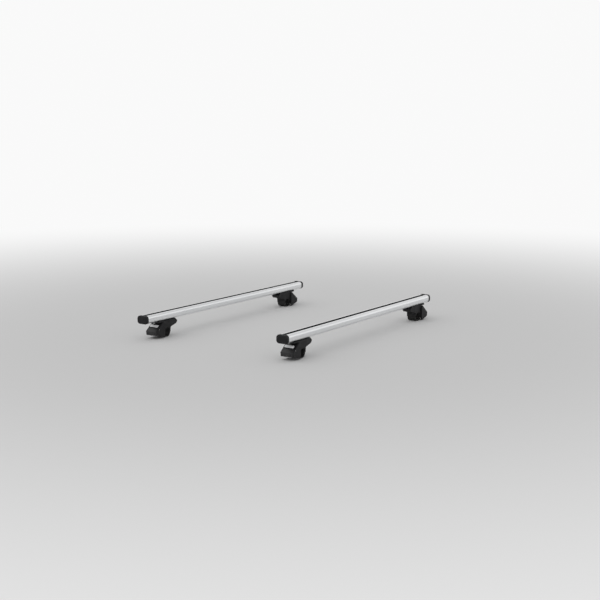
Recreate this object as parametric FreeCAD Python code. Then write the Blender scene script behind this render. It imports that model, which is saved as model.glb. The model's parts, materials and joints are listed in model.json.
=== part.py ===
"""A pair of roof cross bars on clamp-on feet for raised side rails.

Each bar is an aluminium extrusion with a T-slot on top, closed by a rubber strip, and a
foot slot underneath. Two moulded feet hang from every bar. A rubber pad sits on the rail,
a rubber-coated steel strap goes round under it, and a screw behind a lockable lid pulls
the strap tight.

Millimetres. +X runs along the bars from right to left, +Y from the front bar to the rear one
and +Z up. The origin is on the ground under the middle of the pair. A foot is drawn for the
left side, with X outward from the rail's centre line, and turned half round for the right.
"""
import FreeCAD, Part
import math
import os

V = FreeCAD.Vector

# The pair
BAR_LENGTH = 1200.0
BAR_SPACING = 751.0
FRONT_BAR_END = 103.0
REAR_BAR_END = 127.0

# Bar section
BAR_WIDTH = 53.4
BAR_HEIGHT = 35.0
BAR_CORNER = 12.5
BAR_WALL = 2.4
SLOT_LIP = 2.6
SLOT_DEPTH = 6.0
SLOT_WALL = 2.2
TOP_SLOT_WIDTH = 20.0
TOP_MOUTH = 11.0
FOOT_SLOT_WIDTH = 18.0
FOOT_MOUTH = 9.0

# Rubber strip in the top slot
STRIP_HEAD = 20.0
STRIP_PROUD = 1.1
STRIP_EDGE = 0.5
STRIP_CREST = 12.0
STRIP_GAP = 0.1
STRIP_BARB = 2.0

# End caps
CAP_DEPTH = 16.0
CAP_OVERHANG = 1.1
CAP_ROUND = 6.0
PLUG_DEPTH = 22.0
PLUG_GAP = 0.2

# Rail, pad and strap
RAIL_RADIUS = 17.0
PAD_THICKNESS = 4.0
PAD_START = -8.0
PAD_END = 140.0
STRAP_THICKNESS = 4.5
STRAP_WIDTH = 44.0
STRAP_ROOM = 0.5
STRAP_RISE = 31.0
STRAP_LEAN = 15.0
STRAP_GROOVE = 0.8
STRAP_GROOVE_WIDTH = 3.0
STRAP_GROOVE_END = 10.0
STRAP_RIBS = 5
STRAP_NOTCH = 3.4
EYE_RADIUS = 6.0
ANCHOR_RADIUS = 3.0
ANCHOR_HALF = 23.5

# Saddle: heights above the rail's centre line, X outward from it
SADDLE_HEIGHT = 56.0
SADDLE_HALF = 24.5
LIP_OUT = 76.0
LIP_TAPER = 16.0
LIP_THICKNESS = 6.0
NOSE_TOP = -58.0
NOSE_TIP = (-74.0, 42.0)
NOSE_CHIN = (-64.0, 31.0)
NOSE_HEEL = (-29.0, 23.0)
NOSE_TAPER = 3.0
NOSE_ROUND = 5.0
SEAT_GAP = 0.1

# Housing outside the rail
HOUSING_HALF = 32.0
HOUSING_WALL = 3.4
HOUSING_OUT = 81.5
HOUSING_SHOULDER = 12.0
HOUSING_ROOT = 25.0
HOUSING_TOE = 2.5
HOUSING_ROUND = 2.2
SLOPE_START = 34.0
PANEL_THICKNESS = 3.0
PANEL_LENGTH = 18.0
FLOOR_THICKNESS = 2.2
FLOOR_START = 27.5
BULKHEAD_DEPTH = 26.5
BULKHEAD_THICKNESS = 4.0
BULKHEAD_RISE = 11.0

# Lid, hinge and lock
LID_THICKNESS = 2.8
LID_GAP = 0.4
LID_SLOPE = 15.5
LID_ROUND = 3.0
LID_ROOM = 40.0
HINGE_RADIUS = 4.4
HINGE_PIN = 1.5
HINGE_GAP = 0.1
LID_OPEN = 60.0
LOCK_RADIUS = 5.5
LOCK_SIDE = 19.5
LOCK_HEIGHT = 4.5
LOCK_LENGTH = 12.0
LOCK_GAP = 0.1
LOCK_BOSS_WALL = 1.9
LOCK_SUNK = 1.6
TONGUE_REACH = 10.8
TONGUE_WIDTH = 5.0
TONGUE_THICKNESS = 3.0
TONGUE_GAP = 0.6
KEYWAY_LENGTH = 6.4
KEYWAY_WIDTH = 1.4
KEYWAY_DEPTH = 5.0

# Strap tensioner
SCREW_RADIUS = 3.0
SCREW_HEAD_RADIUS = 4.6
SCREW_HEAD_ROOM = 0.2
SCREW_HEAD_BEVEL = 0.6
SCREW_HEAD = 6.0
SCREW_SOCKET = 5.0
SCREW_GAP = 0.1
YOKE_IN = 20.0
YOKE_LENGTH = 24.0
YOKE_GRIP = 12.0
YOKE_HALF = 25.0
YOKE_HALF_THICKNESS = 4.2
YOKE_GAP = 0.1
YOKE_ROUND = 3.0

# Bolts and slot nuts that hold a foot to its bar
BOLT_PLACES = (-44.0, 62.0)
BOLT_RADIUS = 3.0
BOLT_GAP = 0.2
BOLT_HEAD_RADIUS = 5.0
BOLT_HEAD = 4.0
BOLT_SOCKET = 4.0
POCKET_RADIUS = 7.0
NUT_LENGTH = 24.0
NUT_THICKNESS = 5.0
NUT_GAP = 0.4
NUT_LIFT = 0.1
NUT_ROUND = 3.0

# Worked out from the sizes above
FRONT_RAIL_SPACING = BAR_LENGTH - 2 * FRONT_BAR_END
REAR_RAIL_SPACING = BAR_LENGTH - 2 * REAR_BAR_END
STRAP_OUTSIDE = RAIL_RADIUS + STRAP_THICKNESS
STRAP_MIDDLE = RAIL_RADIUS + STRAP_THICKNESS / 2
RAIL_HEIGHT = STRAP_OUTSIDE
BAR_BOTTOM = RAIL_HEIGHT + SADDLE_HEIGHT
SEAT_RADIUS = RAIL_RADIUS + PAD_THICKNESS + SEAT_GAP
LIP_BOTTOM = SADDLE_HEIGHT - LIP_THICKNESS
SLOPE_FALL = (LIP_BOTTOM - HOUSING_SHOULDER) / (HOUSING_OUT - SLOPE_START)
SLOPE_ANGLE = math.atan(SLOPE_FALL)
FLOOR_TOP = -STRAP_MIDDLE - SCREW_HEAD_RADIUS - SCREW_HEAD_ROOM
FLOOR_BOTTOM = FLOOR_TOP - FLOOR_THICKNESS
CAVITY_HALF = HOUSING_HALF - HOUSING_WALL
BULKHEAD_OUT = HOUSING_OUT - BULKHEAD_DEPTH
LID_HALF = CAVITY_HALF - LID_GAP
LID_TOP = HOUSING_OUT - LID_SLOPE
HINGE_SWEEP = HINGE_RADIUS / math.cos(math.radians(LID_OPEN / 2)) + LID_GAP


def prism(points, y0, y1):
    """A prism of an outline in the XZ plane, given from the rail's centre, between two Y."""
    corners = [V(x, y0, RAIL_HEIGHT + z) for x, z in points]
    face = Part.Face(Part.makePolygon(corners + corners[:1]))
    return face.extrude(V(0, y1 - y0, 0))


def block(x0, x1, y0, y1, z0, z1):
    return Part.makeBox(x1 - x0, y1 - y0, z1 - z0, V(x0, y0, z0))


def rod_x(y, z, radius, x0, x1):
    return Part.makeCylinder(radius, x1 - x0, V(x0, y, z), V(1, 0, 0))


def rod_y(x, z, radius, y0, y1):
    """A round rod along Y, its height given from the rail's centre."""
    return Part.makeCylinder(radius, y1 - y0, V(x, y0, RAIL_HEIGHT + z), V(0, 1, 0))


def rod_z(x, radius, z0, z1):
    return Part.makeCylinder(radius, z1 - z0, V(x, 0, z0))


def hexagon(across, depth):
    """A six-sided socket tool along +Z from the origin, by its width across flats."""
    r = across / math.sqrt(3)
    turns = [math.radians(60 * i) for i in range(6)]
    corners = [V(r * math.cos(turn), r * math.sin(turn), 0) for turn in turns]
    return Part.Face(Part.makePolygon(corners + corners[:1])).extrude(V(0, 0, depth))


def lean(shape):
    """Turns a shape drawn about the rail's centre so that its X runs along the strap's pull."""
    turned = shape.copy()
    turned.rotate(V(0, 0, 0), V(0, 1, 0), -STRAP_LEAN)
    turned.translate(V(0, 0, RAIL_HEIGHT))
    return turned


def leaned(x, z):
    """Where a point drawn along the strap's pull lies, from the rail's centre."""
    c, s = math.cos(math.radians(STRAP_LEAN)), math.sin(math.radians(STRAP_LEAN))
    return x * c - z * s, x * s + z * c


def floor_point(out, level):
    """The point at an X on a level that follows the housing's floor."""
    c, s = math.cos(math.radians(STRAP_LEAN)), math.sin(math.radians(STRAP_LEAN))
    return leaned((out + level * s) / c, level)


def slope_point(out, depth):
    """The point on the housing's sloping face at an X, sunk below the face by a depth."""
    z = LIP_BOTTOM - SLOPE_FALL * (out - SLOPE_START)
    return out - depth * math.sin(SLOPE_ANGLE), z - depth * math.cos(SLOPE_ANGLE)


HINGE = slope_point(LID_TOP, HINGE_RADIUS)


def bar_outline(grow):
    """The bar's outer section in the YZ plane, grown by an amount on every side."""
    half, r = BAR_WIDTH / 2 + grow, BAR_CORNER + grow
    low, high = -grow, BAR_HEIGHT + grow
    flat, d = half - r, r * math.sqrt(0.5)
    edges = [Part.LineSegment(V(0, -flat, low), V(0, flat, low))]
    edges.append(Part.Arc(V(0, flat, low), V(0, flat + d, low + r - d), V(0, half, low + r)))
    edges.append(Part.LineSegment(V(0, half, low + r), V(0, half, high - r)))
    edges.append(Part.Arc(V(0, half, high - r), V(0, flat + d, high - r + d), V(0, flat, high)))
    edges.append(Part.LineSegment(V(0, flat, high), V(0, -flat, high)))
    edges.append(Part.Arc(V(0, -flat, high), V(0, -flat - d, high - r + d), V(0, -half, high - r)))
    edges.append(Part.LineSegment(V(0, -half, high - r), V(0, -half, low + r)))
    edges.append(Part.Arc(V(0, -half, low + r), V(0, -flat - d, low + r - d), V(0, -flat, low)))
    return Part.Wire([edge.toShape() for edge in edges])


def bar_chambers(length, gap):
    """The hollow spaces of the bar's section, shrunk by a gap, as solids along +X from 0."""
    inside = Part.Face(bar_outline(-BAR_WALL - gap)).extrude(V(length, 0, 0))
    slot_half = TOP_SLOT_WIDTH / 2 + SLOT_WALL + gap
    sides = inside.cut(block(0, length, -slot_half, slot_half, 0, BAR_HEIGHT))
    core_half = TOP_SLOT_WIDTH / 2 - gap
    core_low = SLOT_LIP + SLOT_DEPTH + SLOT_WALL + gap
    core = block(0, length, -core_half, core_half, core_low, BAR_HEIGHT - core_low)
    return sides.Solids + [core]


def make_bar():
    """The extrusion: rounded outside, two T-slots back to back, three hollow chambers."""
    bar = Part.Face(bar_outline(0)).extrude(V(BAR_LENGTH, 0, 0))
    cuts = bar_chambers(BAR_LENGTH, 0)
    top_lip = BAR_HEIGHT - SLOT_LIP
    slot, mouth = TOP_SLOT_WIDTH / 2, TOP_MOUTH / 2
    cuts.append(block(0, BAR_LENGTH, -mouth, mouth, top_lip, BAR_HEIGHT))
    cuts.append(block(0, BAR_LENGTH, -slot, slot, top_lip - SLOT_DEPTH, top_lip))
    slot, mouth = FOOT_SLOT_WIDTH / 2, FOOT_MOUTH / 2
    cuts.append(block(0, BAR_LENGTH, -mouth, mouth, 0, SLOT_LIP))
    cuts.append(block(0, BAR_LENGTH, -slot, slot, SLOT_LIP, SLOT_LIP + SLOT_DEPTH))
    bar = bar.cut(cuts)
    bar.translate(V(-BAR_LENGTH / 2, 0, BAR_BOTTOM))
    return bar


def make_strip():
    """The rubber strip: a crowned head on the bar's top, a stem in the slot's mouth and a barb."""
    head = STRIP_HEAD / 2
    stem = TOP_MOUTH / 2 - STRIP_GAP
    barb = TOP_SLOT_WIDTH / 2 - STRIP_GAP
    lip = BAR_HEIGHT - SLOT_LIP - STRIP_GAP
    foot = lip - STRIP_BARB
    right = [
        (barb - STRIP_BARB, foot),
        (barb, lip),
        (stem, lip),
        (stem, BAR_HEIGHT),
        (head, BAR_HEIGHT),
        (head, BAR_HEIGHT + STRIP_EDGE),
        (STRIP_CREST / 2, BAR_HEIGHT + STRIP_PROUD),
    ]
    left = [(-y, z) for y, z in reversed(right)]
    corners = [V(-BAR_LENGTH / 2, y, BAR_BOTTOM + z) for y, z in right + left]
    face = Part.Face(Part.makePolygon(corners + corners[:1]))
    return face.extrude(V(BAR_LENGTH, 0, 0))


def make_cap():
    """The cap on the bar's left end: a rounded head over the section and plugs in the chambers."""
    head = Part.Face(bar_outline(CAP_OVERHANG)).extrude(V(CAP_DEPTH, 0, 0))
    outer = [e for e in head.Edges if e.BoundBox.XMin > CAP_DEPTH - 0.01]
    head = head.makeFillet(CAP_ROUND, outer)
    plugs = bar_chambers(PLUG_DEPTH, PLUG_GAP)
    for plug in plugs:
        plug.translate(V(-PLUG_DEPTH, 0, 0))
    cap = head.fuse(plugs).removeSplitter()
    cap.translate(V(BAR_LENGTH / 2, 0, BAR_BOTTOM))
    return cap


def make_body():
    """The moulded foot: saddle and lip under the bar, nose inside the rail, housing outside it."""
    saddle = prism(
        [
            (LIP_OUT, SADDLE_HEIGHT),
            (LIP_OUT, LIP_BOTTOM),
            (SLOPE_START, LIP_BOTTOM),
            (SLOPE_START, 0.0),
            (-SEAT_RADIUS, 0.0),
            (-SEAT_RADIUS - 2.0, NOSE_HEEL[1] - 3.0),
            NOSE_HEEL,
            NOSE_CHIN,
            NOSE_TIP,
            (NOSE_TOP, SADDLE_HEIGHT),
        ],
        -SADDLE_HALF,
        SADDLE_HALF,
    )
    plan = [
        (LIP_OUT, SADDLE_HALF - LIP_TAPER),
        (LIP_OUT - LIP_TAPER, SADDLE_HALF),
        (NOSE_HEEL[0], SADDLE_HALF),
        (NOSE_TIP[0], SADDLE_HALF - NOSE_TAPER),
    ]
    rim = [V(x, y, 0) for x, y in plan]
    rim += [V(p.x, -p.y, 0) for p in reversed(rim)]
    footprint = Part.Face(Part.makePolygon(rim + rim[:1])).extrude(V(0, 0, BAR_BOTTOM + 1))
    saddle = saddle.common(footprint)
    across = [e for e in saddle.Edges if e.BoundBox.YLength > SADDLE_HALF]
    nose = [e for e in across if e.BoundBox.XMax < NOSE_CHIN[0] + 0.01]
    saddle = saddle.makeFillet(NOSE_ROUND, nose)

    housing = prism(
        [
            (SLOPE_START, LIP_BOTTOM),
            (HOUSING_OUT, HOUSING_SHOULDER),
            housing_toe(),
            floor_point(FLOOR_START, FLOOR_BOTTOM),
            (HOUSING_ROOT, floor_point(HOUSING_ROOT, FLOOR_TOP)[1] + 2.0),
            (HOUSING_ROOT, LIP_BOTTOM - 8.0),
        ],
        -HOUSING_HALF,
        HOUSING_HALF,
    )
    side = [e for e in housing.Edges if housing_edge(e)]
    housing = housing.makeFillet(HOUSING_ROUND, side)
    body = saddle.fuse(housing).cut(body_cuts())
    bulkhead = lean(
        block(
            BULKHEAD_OUT,
            BULKHEAD_OUT + BULKHEAD_THICKNESS,
            -CAVITY_HALF - 0.5,
            CAVITY_HALF + 0.5,
            FLOOR_TOP - 0.5,
            -STRAP_MIDDLE + BULKHEAD_RISE,
        )
    )
    hole_radius = SCREW_RADIUS + 3 * SCREW_GAP
    hole_end = BULKHEAD_OUT + BULKHEAD_THICKNESS + 1
    screw_hole = lean(rod_x(0, -STRAP_MIDDLE, hole_radius, BULKHEAD_OUT - 1, hole_end))
    return body.fuse(bulkhead).cut(screw_hole).removeSplitter()


def housing_toe():
    """The housing's lowest outer corner."""
    return floor_point(HOUSING_OUT - HOUSING_TOE, FLOOR_BOTTOM)


def housing_edge(edge):
    """True for the edges where the housing's outer skin turns into its two sides."""
    box = edge.BoundBox
    on_side = box.YLength < 0.01 and abs(abs(box.YMin) - HOUSING_HALF) < 0.01
    above_toe = box.ZMax > RAIL_HEIGHT + housing_toe()[1] + 0.1
    return on_side and above_toe and box.XMax > HOUSING_OUT - HOUSING_TOE - 0.5


def body_cuts():
    """Everything hollow in the foot: rail seat, strap ways, housing, pockets and pin holes."""
    far = HOUSING_HALF + 1
    seat = rod_y(0, 0, SEAT_RADIUS, -far, far)
    strap_half = STRAP_WIDTH / 2 + STRAP_ROOM
    way_in, way_out = -STRAP_OUTSIDE - STRAP_ROOM, -RAIL_RADIUS + STRAP_ROOM
    inner_way = block(way_in, way_out, -strap_half, strap_half, 0, RAIL_HEIGHT + STRAP_RISE)
    eye = rod_y(-STRAP_MIDDLE, STRAP_RISE, EYE_RADIUS + STRAP_ROOM, -strap_half, strap_half)
    anchor = rod_y(-STRAP_MIDDLE, STRAP_RISE, ANCHOR_RADIUS, -ANCHOR_HALF, ANCHOR_HALF)
    yoke_top = -STRAP_MIDDLE + YOKE_HALF_THICKNESS + 1.0
    outer_way = lean(block(5.0, BULKHEAD_OUT, -CAVITY_HALF, CAVITY_HALF, FLOOR_TOP, yoke_top))
    panel_top = slope_point(LID_TOP - PANEL_LENGTH, PANEL_THICKNESS)
    hollow = prism(
        [
            floor_point(FLOOR_START + 4.0, FLOOR_TOP),
            floor_point(HOUSING_OUT + 12.0, FLOOR_TOP),
            (HOUSING_OUT + 12.0, HINGE[1] - HINGE_RADIUS),
            slope_point(LID_TOP, -6.0),
            HINGE,
            slope_point(LID_TOP - HINGE_RADIUS, PANEL_THICKNESS),
            panel_top,
            (SLOPE_START - 2.0, panel_top[1] - 8.0),
            (FLOOR_START + 3.0, 0.0),
        ],
        -CAVITY_HALF,
        CAVITY_HALF,
    )
    barrel = rod_y(HINGE[0], HINGE[1], HINGE_SWEEP, -CAVITY_HALF, CAVITY_HALF)
    toe = lid_foot()
    toe_low, toe_high = RAIL_HEIGHT + toe[1] - 12.0, RAIL_HEIGHT + toe[1] + 12.0
    lid_end = block(toe[0] - 1.0, HOUSING_OUT + 1.0, -CAVITY_HALF, CAVITY_HALF, toe_low, toe_high)
    pin = rod_y(HINGE[0], HINGE[1], HINGE_PIN, -far, far)
    head_seat = BAR_BOTTOM - LIP_THICKNESS
    pocket = rod_z(BOLT_PLACES[0], POCKET_RADIUS, RAIL_HEIGHT, head_seat)
    bolt_holes = [rod_z(x, BOLT_RADIUS + BOLT_GAP, head_seat - 1, BAR_BOTTOM + 1) for x in BOLT_PLACES]
    low, high = tongue_place()
    sweep = math.hypot(TONGUE_REACH, TONGUE_WIDTH / 2)
    entry = math.sqrt(sweep ** 2 - (CAVITY_HALF - LOCK_SIDE) ** 2)
    strike = block(
        low - TONGUE_GAP,
        high + TONGUE_GAP,
        CAVITY_HALF - 1,
        LOCK_SIDE + sweep + TONGUE_GAP / 2,
        RAIL_HEIGHT + LOCK_HEIGHT - TONGUE_WIDTH / 2 - TONGUE_GAP,
        RAIL_HEIGHT + LOCK_HEIGHT + entry + TONGUE_GAP,
    )
    ways = [seat, inner_way, eye, anchor, outer_way]
    return ways + [hollow, barrel, lid_end, pin, pocket, *bolt_holes, strike]


def lid_foot():
    """The lid's lowest inner corner, where it meets the housing's floor."""
    return floor_point(HOUSING_OUT - HOUSING_TOE - LID_THICKNESS, FLOOR_BOTTOM)


def tongue_place():
    """The lock tongue's two ends along X."""
    high = HOUSING_OUT - LOCK_LENGTH - LOCK_GAP
    return high - TONGUE_THICKNESS, high


def make_pad():
    """The rubber pad between the foot and the top of the rail."""
    half = STRAP_WIDTH / 2
    ring = rod_y(0, 0, RAIL_RADIUS + PAD_THICKNESS, -half, half)
    ring = ring.cut(rod_y(0, 0, RAIL_RADIUS, -half - 1, half + 1))
    reach = 3 * SEAT_RADIUS
    fan = [(0, 0)]
    for angle in (PAD_START, (PAD_START + PAD_END) / 2, PAD_END):
        fan.append((reach * math.cos(math.radians(angle)), reach * math.sin(math.radians(angle))))
    return ring.common(prism(fan, -half - 1, half + 1))


def make_strap():
    """The rubber-coated band: eye, ribbed back, run round under the rail, end notched for the screw."""
    half = STRAP_WIDTH / 2
    ring = rod_y(0, 0, STRAP_OUTSIDE, -half, half).cut(rod_y(0, 0, RAIL_RADIUS, -half, half))
    reach = 3 * STRAP_OUTSIDE
    fan = [(0, 0), (-reach, 0), (-reach, -reach), leaned(0, -reach)]
    arc = ring.common(prism(fan, -half, half))
    rise = block(-STRAP_OUTSIDE, -RAIL_RADIUS, -half, half, RAIL_HEIGHT, RAIL_HEIGHT + STRAP_RISE)
    eye = rod_y(-STRAP_MIDDLE, STRAP_RISE, EYE_RADIUS, -half, half)
    end = YOKE_IN + YOKE_GRIP - YOKE_GAP
    run = block(0, end, -half, half, -STRAP_OUTSIDE, -RAIL_RADIUS)
    notch_half = SCREW_RADIUS + STRAP_ROOM
    notch = block(end - STRAP_NOTCH, end, -notch_half, notch_half, -STRAP_OUTSIDE, -RAIL_RADIUS)
    strap = arc.fuse([rise, eye, lean(run.cut(notch))])
    pitch = STRAP_WIDTH / STRAP_RIBS
    cuts = [rod_y(-STRAP_MIDDLE, STRAP_RISE, ANCHOR_RADIUS, -half - 1, half + 1)]
    groove_end = RAIL_HEIGHT + STRAP_RISE - STRAP_GROOVE_END
    for i in range(1, STRAP_RIBS):
        y0 = -half + i * pitch - STRAP_GROOVE_WIDTH / 2
        y1 = y0 + STRAP_GROOVE_WIDTH
        x = -STRAP_OUTSIDE
        cuts.append(block(x - 1, x + STRAP_GROOVE, y0, y1, RAIL_HEIGHT, groove_end))
    return strap.cut(cuts).removeSplitter()


def make_anchor_pin():
    return rod_y(-STRAP_MIDDLE, STRAP_RISE, ANCHOR_RADIUS, -ANCHOR_HALF, ANCHOR_HALF)


def make_yoke():
    """The steel yoke that grips the strap's outer end and runs on the tension screw."""
    end = YOKE_IN + YOKE_LENGTH
    t = YOKE_HALF_THICKNESS
    yoke = block(YOKE_IN, end, -YOKE_HALF, YOKE_HALF, -STRAP_MIDDLE - t, -STRAP_MIDDLE + t)
    corners = [e for e in yoke.Edges if e.BoundBox.ZLength > 2 * t - 0.01]
    yoke = yoke.makeFillet(YOKE_ROUND, corners)
    low = -STRAP_MIDDLE - STRAP_THICKNESS / 2 - YOKE_GAP
    high = -STRAP_MIDDLE + STRAP_THICKNESS / 2 + YOKE_GAP
    slot_half = STRAP_WIDTH / 2 + 3 * YOKE_GAP
    slot_end = YOKE_IN + YOKE_GRIP
    slot = block(YOKE_IN - 1, slot_end, -slot_half, slot_half, low, high)
    thread = rod_x(0, -STRAP_MIDDLE, SCREW_RADIUS + SCREW_GAP, slot_end - SCREW_RADIUS, end + 1)
    return lean(yoke.cut([slot, thread]))


def make_screw():
    """The tension screw: socket head against the bulkhead, plain shank where its thread is."""
    seat = BULKHEAD_OUT + BULKHEAD_THICKNESS
    tip = YOKE_IN + YOKE_GRIP + SCREW_GAP
    shank = rod_x(0, -STRAP_MIDDLE, SCREW_RADIUS, tip, seat)
    head = rod_x(0, -STRAP_MIDDLE, SCREW_HEAD_RADIUS, seat, seat + SCREW_HEAD)
    rim = [e for e in head.Edges if e.BoundBox.XMin > seat + SCREW_HEAD - 0.01]
    head = head.makeChamfer(SCREW_HEAD_BEVEL, rim)
    socket = hexagon(SCREW_SOCKET, SCREW_HEAD)
    socket.rotate(V(0, 0, 0), V(0, 1, 0), 90)
    socket.translate(V(seat + SCREW_HEAD / 2, 0, -STRAP_MIDDLE))
    return lean(shank.fuse(head).cut(socket).removeSplitter())


def make_lid():
    """The moulded lid: rolled top edge on the hinge, bent plate, lock boss behind its face."""
    foot = lid_foot()
    plate = prism(
        [
            HINGE,
            slope_point(LID_TOP, 0.0),
            (HOUSING_OUT, HOUSING_SHOULDER),
            housing_toe(),
            foot,
            (HOUSING_OUT - LID_THICKNESS, HOUSING_SHOULDER - LID_THICKNESS / 2),
            slope_point(LID_TOP + HINGE_RADIUS, LID_THICKNESS),
        ],
        -LID_HALF,
        LID_HALF,
    )
    ridge = [e for e in plate.Edges if lid_ridge(e)]
    plate = plate.makeFillet(LID_ROUND, ridge)
    barrel = rod_y(HINGE[0], HINGE[1], HINGE_RADIUS, -LID_HALF, LID_HALF)
    boss_radius = LOCK_RADIUS + LOCK_GAP + LOCK_BOSS_WALL
    z = RAIL_HEIGHT + LOCK_HEIGHT
    boss_end = HOUSING_OUT - LID_THICKNESS / 2
    boss = rod_x(LOCK_SIDE, z, boss_radius, HOUSING_OUT - LOCK_LENGTH + 1.0, boss_end)
    lid = plate.fuse([barrel, boss])
    inside = prism(
        [
            HINGE,
            slope_point(LID_TOP, -1.0),
            (HOUSING_OUT, HOUSING_SHOULDER),
            housing_toe(),
            floor_point(HOUSING_OUT - LID_ROOM, FLOOR_TOP + LID_GAP),
            (HINGE[0] - 3 * HINGE_RADIUS, HINGE[1]),
        ],
        -LID_HALF,
        LID_HALF,
    )
    lid = lid.common(inside.fuse([plate, barrel]))
    bore_start = HOUSING_OUT - LOCK_LENGTH - 4
    bore = rod_x(LOCK_SIDE, z, LOCK_RADIUS + LOCK_GAP, bore_start, HOUSING_OUT + 2)
    pin = rod_y(HINGE[0], HINGE[1], HINGE_PIN + HINGE_GAP, -HOUSING_HALF, HOUSING_HALF)
    return lid.cut([bore, pin]).removeSplitter()


def lid_ridge(edge):
    """True for the lid's outer ridge, where its slope turns into its upright face."""
    box = edge.BoundBox
    return box.YLength > LID_HALF and box.XMin > HOUSING_OUT - 0.01


def make_lid_pin():
    return rod_y(HINGE[0], HINGE[1], HINGE_PIN, -HOUSING_HALF, HOUSING_HALF)


def make_lock():
    """The lock barrel with its keyway, and the tongue cast on its inner end, turned to open."""
    low, high = tongue_place()
    z = RAIL_HEIGHT + LOCK_HEIGHT
    face = HOUSING_OUT - LOCK_SUNK
    barrel = rod_x(LOCK_SIDE, z, LOCK_RADIUS, high, face)
    key, tall = KEYWAY_WIDTH / 2, KEYWAY_LENGTH / 2
    keyway = block(face - KEYWAY_DEPTH, face + 1, LOCK_SIDE - key, LOCK_SIDE + key, z - tall, z + tall)
    half = TONGUE_WIDTH / 2
    tongue = block(low, high, LOCK_SIDE - half, LOCK_SIDE + half, z - half, z + TONGUE_REACH)
    return barrel.cut(keyway).fuse(tongue).removeSplitter()


def make_slot_nuts():
    """Two steel nuts in the bar's foot slot, one over each bolt."""
    half = FOOT_SLOT_WIDTH / 2 - NUT_GAP
    low = BAR_BOTTOM + SLOT_LIP + NUT_LIFT
    nuts = []
    for x in BOLT_PLACES:
        nut = block(x - NUT_LENGTH / 2, x + NUT_LENGTH / 2, -half, half, low, low + NUT_THICKNESS)
        corners = [e for e in nut.Edges if e.BoundBox.ZLength > NUT_THICKNESS - 0.01]
        nut = nut.makeFillet(NUT_ROUND, corners)
        nuts.append(nut.cut(rod_z(x, BOLT_RADIUS, low - 1, low + NUT_THICKNESS + 1)))
    return Part.makeCompound(nuts)


def make_bolts():
    """Two socket-head bolts that draw the slot nuts down and clamp the foot to its bar."""
    seat = BAR_BOTTOM - LIP_THICKNESS
    tip = BAR_BOTTOM + SLOT_LIP + NUT_LIFT + NUT_THICKNESS
    bolts = []
    for x in BOLT_PLACES:
        head = rod_z(x, BOLT_HEAD_RADIUS, seat - BOLT_HEAD, seat)
        socket = hexagon(BOLT_SOCKET, BOLT_HEAD / 2)
        socket.translate(V(x, 0, seat - BOLT_HEAD))
        bolts.append(head.cut(socket).fuse(rod_z(x, BOLT_RADIUS, seat, tip)).removeSplitter())
    return Part.makeCompound(bolts)


FOOT_PIECES = {
    "foot_body": make_body,
    "rail_pad": make_pad,
    "strap": make_strap,
    "anchor_pin": make_anchor_pin,
    "tension_yoke": make_yoke,
    "tension_screw": make_screw,
    "lid": make_lid,
    "lid_pin": make_lid_pin,
    "lock_barrel": make_lock,
    "slot_nuts": make_slot_nuts,
    "bar_bolts": make_bolts,
}


def placed(shape, x, y, half_turn):
    """A copy of a piece, turned half round for the right side, then moved to its place."""
    copy = shape.copy()
    if half_turn:
        copy.rotate(V(0, 0, 0), V(0, 0, 1), 180)
    copy.translate(V(x, y, 0))
    return copy


os.makedirs("parts", exist_ok=True)
bar, strip, cap = make_bar(), make_strip(), make_cap()
foot = {name: make() for name, make in FOOT_PIECES.items()}
pieces = {}
for row, y, rail_spacing in (
    ("front", -BAR_SPACING / 2, FRONT_RAIL_SPACING),
    ("rear", BAR_SPACING / 2, REAR_RAIL_SPACING),
):
    pieces[f"{row}_bar"] = placed(bar, 0, y, False)
    pieces[f"{row}_bar_strip"] = placed(strip, 0, y, False)
    for side, sign in (("left", 1), ("right", -1)):
        pieces[f"{row}_{side}_end_cap"] = placed(cap, 0, y, sign < 0)
        for name, shape in foot.items():
            pieces[f"{row}_{side}_{name}"] = placed(shape, sign * rail_spacing / 2, y, sign < 0)
for name, shape in pieces.items():
    shape.exportStep(f"parts/{name}.step")
for name, shape in {"bar": bar, "strip": strip, "cap": cap, **foot}.items():
    box = shape.BoundBox
    extent = [round(v, 1) for v in (box.XMin, box.XMax, box.YMin, box.YMax, box.ZMin, box.ZMax)]
    print(name, shape.isValid(), len(shape.Solids), round(shape.Volume), extent)
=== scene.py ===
import json
import math
import bmesh
import bpy
from mathutils import Matrix, Vector


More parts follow.
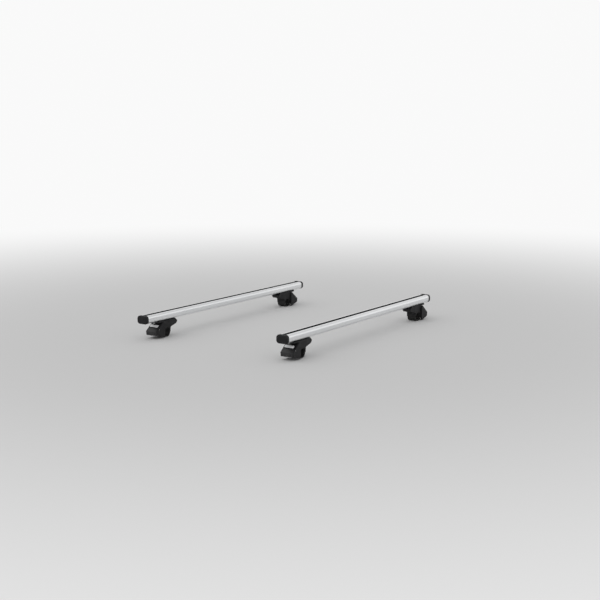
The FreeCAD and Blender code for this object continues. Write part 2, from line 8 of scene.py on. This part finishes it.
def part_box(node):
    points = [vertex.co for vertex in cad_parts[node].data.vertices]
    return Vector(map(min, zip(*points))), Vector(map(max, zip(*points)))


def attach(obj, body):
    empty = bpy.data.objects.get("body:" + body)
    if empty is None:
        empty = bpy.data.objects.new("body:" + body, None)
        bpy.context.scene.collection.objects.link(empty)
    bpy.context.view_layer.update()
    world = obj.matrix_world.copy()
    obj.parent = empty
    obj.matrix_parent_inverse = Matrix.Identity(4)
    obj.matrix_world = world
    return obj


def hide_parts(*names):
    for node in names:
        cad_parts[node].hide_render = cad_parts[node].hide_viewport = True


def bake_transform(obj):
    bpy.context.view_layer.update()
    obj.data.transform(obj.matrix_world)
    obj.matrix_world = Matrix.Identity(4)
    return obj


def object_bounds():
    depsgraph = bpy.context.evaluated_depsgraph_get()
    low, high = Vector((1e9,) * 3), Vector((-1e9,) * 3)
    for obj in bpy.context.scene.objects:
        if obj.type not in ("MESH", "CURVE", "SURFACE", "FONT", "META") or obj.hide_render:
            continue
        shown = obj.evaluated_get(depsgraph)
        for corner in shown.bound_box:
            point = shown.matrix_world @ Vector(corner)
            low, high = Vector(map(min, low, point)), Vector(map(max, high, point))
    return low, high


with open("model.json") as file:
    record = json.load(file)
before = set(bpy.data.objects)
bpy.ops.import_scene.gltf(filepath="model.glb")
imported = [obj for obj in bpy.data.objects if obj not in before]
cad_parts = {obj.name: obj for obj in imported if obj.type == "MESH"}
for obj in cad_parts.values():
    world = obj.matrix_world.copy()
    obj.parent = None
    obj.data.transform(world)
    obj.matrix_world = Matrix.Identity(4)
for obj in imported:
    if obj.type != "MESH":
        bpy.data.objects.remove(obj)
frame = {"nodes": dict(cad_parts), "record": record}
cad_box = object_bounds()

# Bars: two extruded aluminium beams, satin anodised, with fine die lines along them and a soft
# change of sheen between the lines. Everything else hangs from them.
ROWS = ("front", "rear")
EVEN = (1, 1, 1)
DIE_LINES_STRETCH = (0.004, 1, 1)
SHEEN_STRETCH = (0.3, 1, 1)
FINE_DETAIL = 4.0
DIE_LINES_DETAIL = 2.0
PATCH_EDGES = (0.35, 0.65)
RELIEF_STRENGTH = 0.6


def new_finish(name, roughness, metallic, specular):
    """A finish with its node tree and shader, before any texture is added."""
    finish = bpy.data.materials.new(name)
    finish.use_nodes = True
    shader = finish.node_tree.nodes["Principled BSDF"]
    shader.inputs["Roughness"].default_value = roughness
    shader.inputs["Metallic"].default_value = metallic
    shader.inputs["Specular IOR Level"].default_value = specular
    return finish, finish.node_tree, shader


def speckle(tree, scale, stretch, detail):
    """Noise that stays with the piece, stretched along its axes."""
    place = tree.nodes.new("ShaderNodeTexCoord")
    mapping = tree.nodes.new("ShaderNodeMapping")
    mapping.inputs["Scale"].default_value = stretch
    noise = tree.nodes.new("ShaderNodeTexNoise")
    noise.inputs["Scale"].default_value = scale
    noise.inputs["Detail"].default_value = detail
    tree.links.new(place.outputs["Object"], mapping.inputs["Vector"])
    tree.links.new(mapping.outputs["Vector"], noise.inputs["Vector"])
    return noise.outputs["Fac"]


def uneven_gloss(tree, value, limits, shader):
    """Lets the roughness wander between two limits."""
    spread = tree.nodes.new("ShaderNodeMapRange")
    spread.inputs["To Min"].default_value = limits[0]
    spread.inputs["To Max"].default_value = limits[1]
    tree.links.new(value, spread.inputs["Value"])
    tree.links.new(spread.outputs["Result"], shader.inputs["Roughness"])


def mottle(tree, value, dark, light, shader):
    """Lets the colour wander between two close tones."""
    ramp = tree.nodes.new("ShaderNodeValToRGB")
    for stop, colour, position in zip(ramp.color_ramp.elements, (dark, light), PATCH_EDGES):
        stop.color = (*colour, 1)
        stop.position = position
    tree.links.new(value, ramp.inputs["Fac"])
    tree.links.new(ramp.outputs["Color"], shader.inputs["Base Color"])


def relief(tree, value, depth, shader):
    """A fine relief; depth is in metres."""
    bump = tree.nodes.new("ShaderNodeBump")
    bump.inputs["Strength"].default_value = RELIEF_STRENGTH
    bump.inputs["Distance"].default_value = depth
    tree.links.new(value, bump.inputs["Height"])
    tree.links.new(bump.outputs["Normal"], shader.inputs["Normal"])


def worked_finish(name, roughness, metallic, specular, gloss, dark, light, patches, grain, depth,
                  patch_stretch=EVEN, grain_stretch=EVEN, grain_detail=FINE_DETAIL):
    """A finish with a grain that roughens it and raises it, and patches of two close tones."""
    finish, tree, shader = new_finish(name, roughness, metallic, specular)
    fine = speckle(tree, grain, grain_stretch, grain_detail)
    uneven_gloss(tree, fine, gloss, shader)
    mottle(tree, speckle(tree, patches, patch_stretch, FINE_DETAIL), dark, light, shader)
    relief(tree, fine, depth, shader)
    return finish


def dress(node, finish):
    """Gives a node its finish."""
    slots = frame["nodes"][node].data.materials
    slots.clear()
    slots.append(finish)


anodised = worked_finish(
    "anodised_aluminium", roughness=0.34, metallic=1.0, specular=0.5, gloss=(0.28, 0.40),
    dark=(0.82, 0.83, 0.84), light=(0.87, 0.88, 0.89), patches=6.0, grain=900.0, depth=0.00003,
    patch_stretch=SHEEN_STRETCH, grain_stretch=DIE_LINES_STRETCH, grain_detail=DIE_LINES_DETAIL)
for row in ROWS:
    dress(f"{row}_bar", anodised)

# End caps: moulded black plastic with a fine spark-eroded grain. Their plugs are pushed into
# the bars' hollow chambers.
FEET = tuple(f"{row}_{side}" for row in ROWS for side in ("left", "right"))
cap_plastic = worked_finish(
    "cap_plastic", roughness=0.5, metallic=0.0, specular=0.2, gloss=(0.42, 0.58),
    dark=(0.008, 0.008, 0.009), light=(0.014, 0.014, 0.015),
    patches=60.0, grain=1400.0, depth=0.00008)
for foot in FEET:
    dress(f"{foot}_end_cap", cap_plastic)

# Strips: black rubber profiles that close the bars' top slots. Low ridges run along their heads
# so that a load doesn't slip.
RIDGES = 7
RIDGE_STEPS = 6
RIDGE_DEPTH = 0.0004
CROWN = 0.0006
CROWN_POWER = 4
RUBBED_STRETCH = (0.2, 1, 1)
strip_rubber = worked_finish(
    "strip_rubber", roughness=0.85, metallic=0.0, specular=0.08, gloss=(0.78, 0.92),
    dark=(0.007, 0.007, 0.007), light=(0.013, 0.013, 0.013),
    patches=25.0, grain=500.0, depth=0.00006, grain_stretch=RUBBED_STRETCH)


def finished(name, mesh, finish):
    """Makes an object of a bmesh, with its place in its mesh, and gives it its finish."""
    data = bpy.data.meshes.new(name)
    mesh.to_mesh(data)
    mesh.free()
    data.materials.append(finish)
    piece = bpy.data.objects.new(name, data)
    bpy.context.scene.collection.objects.link(piece)
    return piece


for row in ROWS:
    low, high = (Vector(corner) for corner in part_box(f"{row}_bar_strip"))
    bar_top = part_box(f"{row}_bar")[1][2]
    size = high - low
    middle = (low + high) / 2
    mesh = bmesh.new()
    at_top = Matrix.Translation((middle.x, middle.y, high.z))
    sheet = at_top @ Matrix.Diagonal((size.x, size.y, 1, 1))
    steps = RIDGES * RIDGE_STEPS
    bmesh.ops.create_grid(mesh, x_segments=1, y_segments=steps, size=0.5, matrix=sheet)
    for vert in mesh.verts:
        across = (vert.co.y - middle.y) / size.y
        valley = abs(math.sin(math.pi * RIDGES * (across + 0.5)))
        vert.co.z -= RIDGE_DEPTH * (1 - valley) + CROWN * (2 * across) ** CROWN_POWER
    under = bmesh.ops.extrude_face_region(mesh, geom=mesh.faces[:])["geom"]
    for vert in under:
        if isinstance(vert, bmesh.types.BMVert):
            vert.co.z = bar_top
    bmesh.ops.recalc_face_normals(mesh, faces=mesh.faces)
    strip = finished(f"{row}_ridged_strip", mesh, strip_rubber)
    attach(strip, "bars")
    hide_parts(f"{row}_bar_strip")

# Foot bodies: black glass-filled nylon with a moulded grain, bolted up under the bars.
# Each has its saddle, nose and tensioner housing in one moulding.
foot_nylon = worked_finish(
    "foot_nylon", roughness=0.5, metallic=0.0, specular=0.22, gloss=(0.44, 0.60),
    dark=(0.009, 0.009, 0.010), light=(0.015, 0.015, 0.016),
    patches=45.0, grain=1100.0, depth=0.0001)
for foot in FEET:
    dress(f"{foot}_foot_body", foot_nylon)

# Rail pads: soft black rubber bonded under the saddles, where the feet sit on the rails.
# Moulded with a dull, slightly rough face.
pad_rubber = worked_finish(
    "pad_rubber", roughness=0.82, metallic=0.0, specular=0.3, gloss=(0.74, 0.90),
    dark=(0.009, 0.009, 0.009), light=(0.016, 0.016, 0.016),
    patches=40.0, grain=700.0, depth=0.0001)
for foot in FEET:
    dress(f"{foot}_rail_pad", pad_rubber)

# Straps: steel bands coated in black rubber. Each hangs from its anchor pin, goes round under
# the rail, and its outer run follows the yoke that pulls it.
MERGE_DISTANCE = 0.000001
strap_rubber = worked_finish(
    "strap_rubber", roughness=0.62, metallic=0.0, specular=0.3, gloss=(0.54, 0.70),
    dark=(0.010, 0.010, 0.010), light=(0.018, 0.018, 0.018),
    patches=50.0, grain=800.0, depth=0.00008)
clamps = [mount for mount in frame["record"]["mounts"] if mount["kind"] == "clamp"]
rails = {mount["name"]: Vector(mount["pos_m"]) for mount in clamps}
for foot in FEET:
    mesh = bmesh.new()
    mesh.from_mesh(frame["nodes"][f"{foot}_strap"].data)
    bmesh.ops.remove_doubles(mesh, verts=mesh.verts, dist=MERGE_DISTANCE)
    band = finished(f"{foot}_rubber_strap", mesh, strap_rubber)
    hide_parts(f"{foot}_strap")
    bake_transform(band)

# Steel fittings: zinc-plated pins, yokes, screws, nuts and bolts inside the feet, turned,
# stamped and plated, with the plating's slight bloom.
FITTINGS = ("anchor_pin", "tension_yoke", "tension_screw", "lid_pin", "slot_nuts", "bar_bolts")
zinc = worked_finish(
    "zinc_plate", roughness=0.38, metallic=1.0, specular=0.5, gloss=(0.30, 0.48),
    dark=(0.50, 0.50, 0.49), light=(0.62, 0.62, 0.60),
    patches=120.0, grain=300.0, depth=0.00003)
for foot in FEET:
    for fitting in FITTINGS:
        dress(f"{foot}_{fitting}", zinc)

# Lids: satin black plastic, a little lighter and smoother than the foot behind them. Each
# swings on a pin through its rolled top edge.
lid_plastic = worked_finish(
    "lid_plastic", roughness=0.36, metallic=0.0, specular=0.4, gloss=(0.30, 0.42),
    dark=(0.019, 0.019, 0.020), light=(0.027, 0.027, 0.028),
    patches=60.0, grain=1600.0, depth=0.00005)
for foot in FEET:
    dress(f"{foot}_lid", lid_plastic)

# Locks: dark plated zinc barrels in the lids, each die-cast with its tongue and cut with a
# key slot.
lock_plate = worked_finish(
    "lock_plate", roughness=0.34, metallic=1.0, specular=0.5, gloss=(0.28, 0.42),
    dark=(0.04, 0.04, 0.043), light=(0.07, 0.07, 0.073),
    patches=150.0, grain=500.0, depth=0.00002)
for foot in FEET:
    dress(f"{foot}_lock_barrel", lock_plate)

# Plates: a bare satin plate bonded to each foot's sloping face, above the lid, with rounded
# corners and a soft edge.
SLOPE_TOP = Vector((0.034, 0.0, 0.050))
SLOPE_FOOT = Vector((0.0815, 0.0, 0.012))
PLATE_CENTRE = 0.0553
PLATE_SIDE = -0.0045
PLATE_LENGTH = 0.046
PLATE_WIDTH = 0.0135
PLATE_THICKNESS = 0.0009
PLATE_CORNER = 0.0025
PLATE_CORNER_STEPS = 5
PLATE_EDGE = 0.0003
PLATE_EDGE_STEPS = 2
plate_silver = worked_finish(
    "plate_silver", roughness=0.40, metallic=0.0, specular=0.5, gloss=(0.34, 0.48),
    dark=(0.78, 0.79, 0.80), light=(0.84, 0.85, 0.86),
    patches=80.0, grain=900.0, depth=0.00003)
down = (SLOPE_FOOT - SLOPE_TOP).normalized()
across = Vector((0, 1, 0))
out = down.cross(across)
reach = (PLATE_CENTRE - SLOPE_TOP.x) / down.x
centre = SLOPE_TOP + down * reach + across * PLATE_SIDE + out * (PLATE_THICKNESS / 2)
on_slope = Matrix.Translation(centre) @ Matrix((down, across, out)).transposed().to_4x4()
slab = Matrix.Diagonal((PLATE_WIDTH, PLATE_LENGTH, PLATE_THICKNESS, 1))
half = PLATE_THICKNESS / 2
for foot in FEET:
    mesh = bmesh.new()
    bmesh.ops.create_cube(mesh, size=1.0, matrix=slab)
    corners = [e for e in mesh.edges if abs(e.verts[0].co.z - e.verts[1].co.z) > half]
    bmesh.ops.bevel(
        mesh, geom=corners, offset=PLATE_CORNER, segments=PLATE_CORNER_STEPS,
        profile=0.5, affect="EDGES", material=-1)
    rim = [e for e in mesh.edges if min(v.co.z for v in e.verts) > half - MERGE_DISTANCE]
    bmesh.ops.bevel(
        mesh, geom=rim, offset=PLATE_EDGE, segments=PLATE_EDGE_STEPS,
        profile=0.5, affect="EDGES", material=-1)
    half_turn = Matrix.Rotation(math.pi if foot.endswith("right") else 0.0, 4, "Z")
    mesh.transform(Matrix.Translation(rails[f"{foot}_rail_clamp"]) @ half_turn @ on_slope)
    plate = finished(f"{foot}_plate", mesh, plate_silver)
    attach(plate, f"{foot}_foot")

# Floor: a plain pale sheet that takes the bars' soft shadows. Far out it fades into the white
# behind, to the eye and in the metal, and it throws no light of its own on the bars.
WALL_LIGHT = 0.95
FLOOR_TONE = (0.66, 0.66, 0.66, 1)
FLOOR_HALF = 60.0
FLOOR_GAP = 0.0002
FADE_START = 0.9
FADE_END = 5.0
pale_floor, tree, shader = new_finish("pale_floor", roughness=0.9, metallic=0.0, specular=0.1)
shader.inputs["Base Color"].default_value = FLOOR_TONE
place = tree.nodes.new("ShaderNodeTexCoord")
distance = tree.nodes.new("ShaderNodeVectorMath")
distance.operation = "LENGTH"
fade = tree.nodes.new("ShaderNodeMapRange")
fade.interpolation_type = "SMOOTHSTEP"
fade.inputs["From Min"].default_value = FADE_START
fade.inputs["From Max"].default_value = FADE_END
tree.links.new(place.outputs["Object"], distance.inputs[0])
tree.links.new(distance.outputs["Value"], fade.inputs["Value"])
ray = tree.nodes.new("ShaderNodeLightPath")
seen = ray.outputs["Is Camera Ray"]
for kind in ("Is Glossy Ray", "Is Transmission Ray"):
    either = tree.nodes.new("ShaderNodeMath")
    either.operation = "MAXIMUM"
    tree.links.new(seen, either.inputs[0])
    tree.links.new(ray.outputs[kind], either.inputs[1])
    seen = either.outputs["Value"]
share = tree.nodes.new("ShaderNodeMath")
share.operation = "MULTIPLY"
tree.links.new(fade.outputs["Result"], share.inputs[0])
tree.links.new(seen, share.inputs[1])
white = tree.nodes.new("ShaderNodeEmission")
white.inputs["Strength"].default_value = WALL_LIGHT
blend = tree.nodes.new("ShaderNodeMixShader")
tree.links.new(share.outputs["Value"], blend.inputs["Fac"])
tree.links.new(shader.outputs["BSDF"], blend.inputs[1])
tree.links.new(white.outputs["Emission"], blend.inputs[2])
tree.links.new(blend.outputs["Shader"], tree.nodes["Material Output"].inputs["Surface"])
mesh = bmesh.new()
lowered = Matrix.Translation((0, 0, cad_box[0][2] - FLOOR_GAP))
bmesh.ops.create_grid(mesh, x_segments=1, y_segments=1, size=FLOOR_HALF, matrix=lowered)
finished("floor", mesh, pale_floor)

# Light: a pale sky, brightest round the horizon as in a studio with lit walls, and one broad
# soft lamp from high on the camera's left.
CEILING_LIGHT = 0.58
WALL_TOP = 0.30
CEILING_EDGE = 0.70
LAMP_STRENGTH = 0.5
LAMP_SPREAD = 90.0
LAMP_FROM = Vector((-1.2, 0.4, 2.4))
world = bpy.data.worlds.new("studio")
bpy.context.scene.world = world
world.use_nodes = True
sky = world.node_tree.nodes["Background"]
sky.inputs["Color"].default_value = (1, 1, 1, 1)
direction = world.node_tree.nodes.new("ShaderNodeTexCoord")
parts = world.node_tree.nodes.new("ShaderNodeSeparateXYZ")
level = world.node_tree.nodes.new("ShaderNodeMapRange")
level.interpolation_type = "SMOOTHSTEP"
level.inputs["From Min"].default_value = WALL_TOP
level.inputs["From Max"].default_value = CEILING_EDGE
level.inputs["To Min"].default_value = WALL_LIGHT
level.inputs["To Max"].default_value = CEILING_LIGHT
world.node_tree.links.new(direction.outputs["Generated"], parts.inputs["Vector"])
world.node_tree.links.new(parts.outputs["Z"], level.inputs["Value"])
world.node_tree.links.new(level.outputs["Result"], sky.inputs["Strength"])
lamp = bpy.data.lights.new("soft_lamp", "SUN")
lamp.energy = LAMP_STRENGTH
lamp.angle = math.radians(LAMP_SPREAD)
holder = bpy.data.objects.new("soft_lamp", lamp)
holder.rotation_euler = (-LAMP_FROM).to_track_quat("-Z", "Y").to_euler()
bpy.context.scene.collection.objects.link(holder)

# Camera: the photograph's place and lens, beyond the right-hand ends, ahead of the front bar
# and a little above both.
FOCAL_PIXELS = 1150.5
IMAGE_PIXELS = 600
SENSOR_WIDTH = 36.0
FAR_LIMIT = 200.0
AZIMUTH = -55.82
ELEVATION = 9.67
CAMERA_X = -4.3402
CAMERA_Y = -2.9960
ABOVE_BARS = 0.9194
lens = bpy.data.cameras.new("camera")
lens.sensor_width = SENSOR_WIDTH
lens.lens = SENSOR_WIDTH * FOCAL_PIXELS / IMAGE_PIXELS
lens.clip_end = FAR_LIMIT
camera = bpy.data.objects.new("camera", lens)
camera.location = (CAMERA_X, CAMERA_Y, cad_box[1][2] + ABOVE_BARS)
camera.rotation_euler = (math.radians(90 - ELEVATION), 0, math.radians(AZIMUTH))
bpy.context.scene.collection.objects.link(camera)
bpy.context.scene.camera = camera
bpy.context.scene.view_settings.view_transform = "Standard"
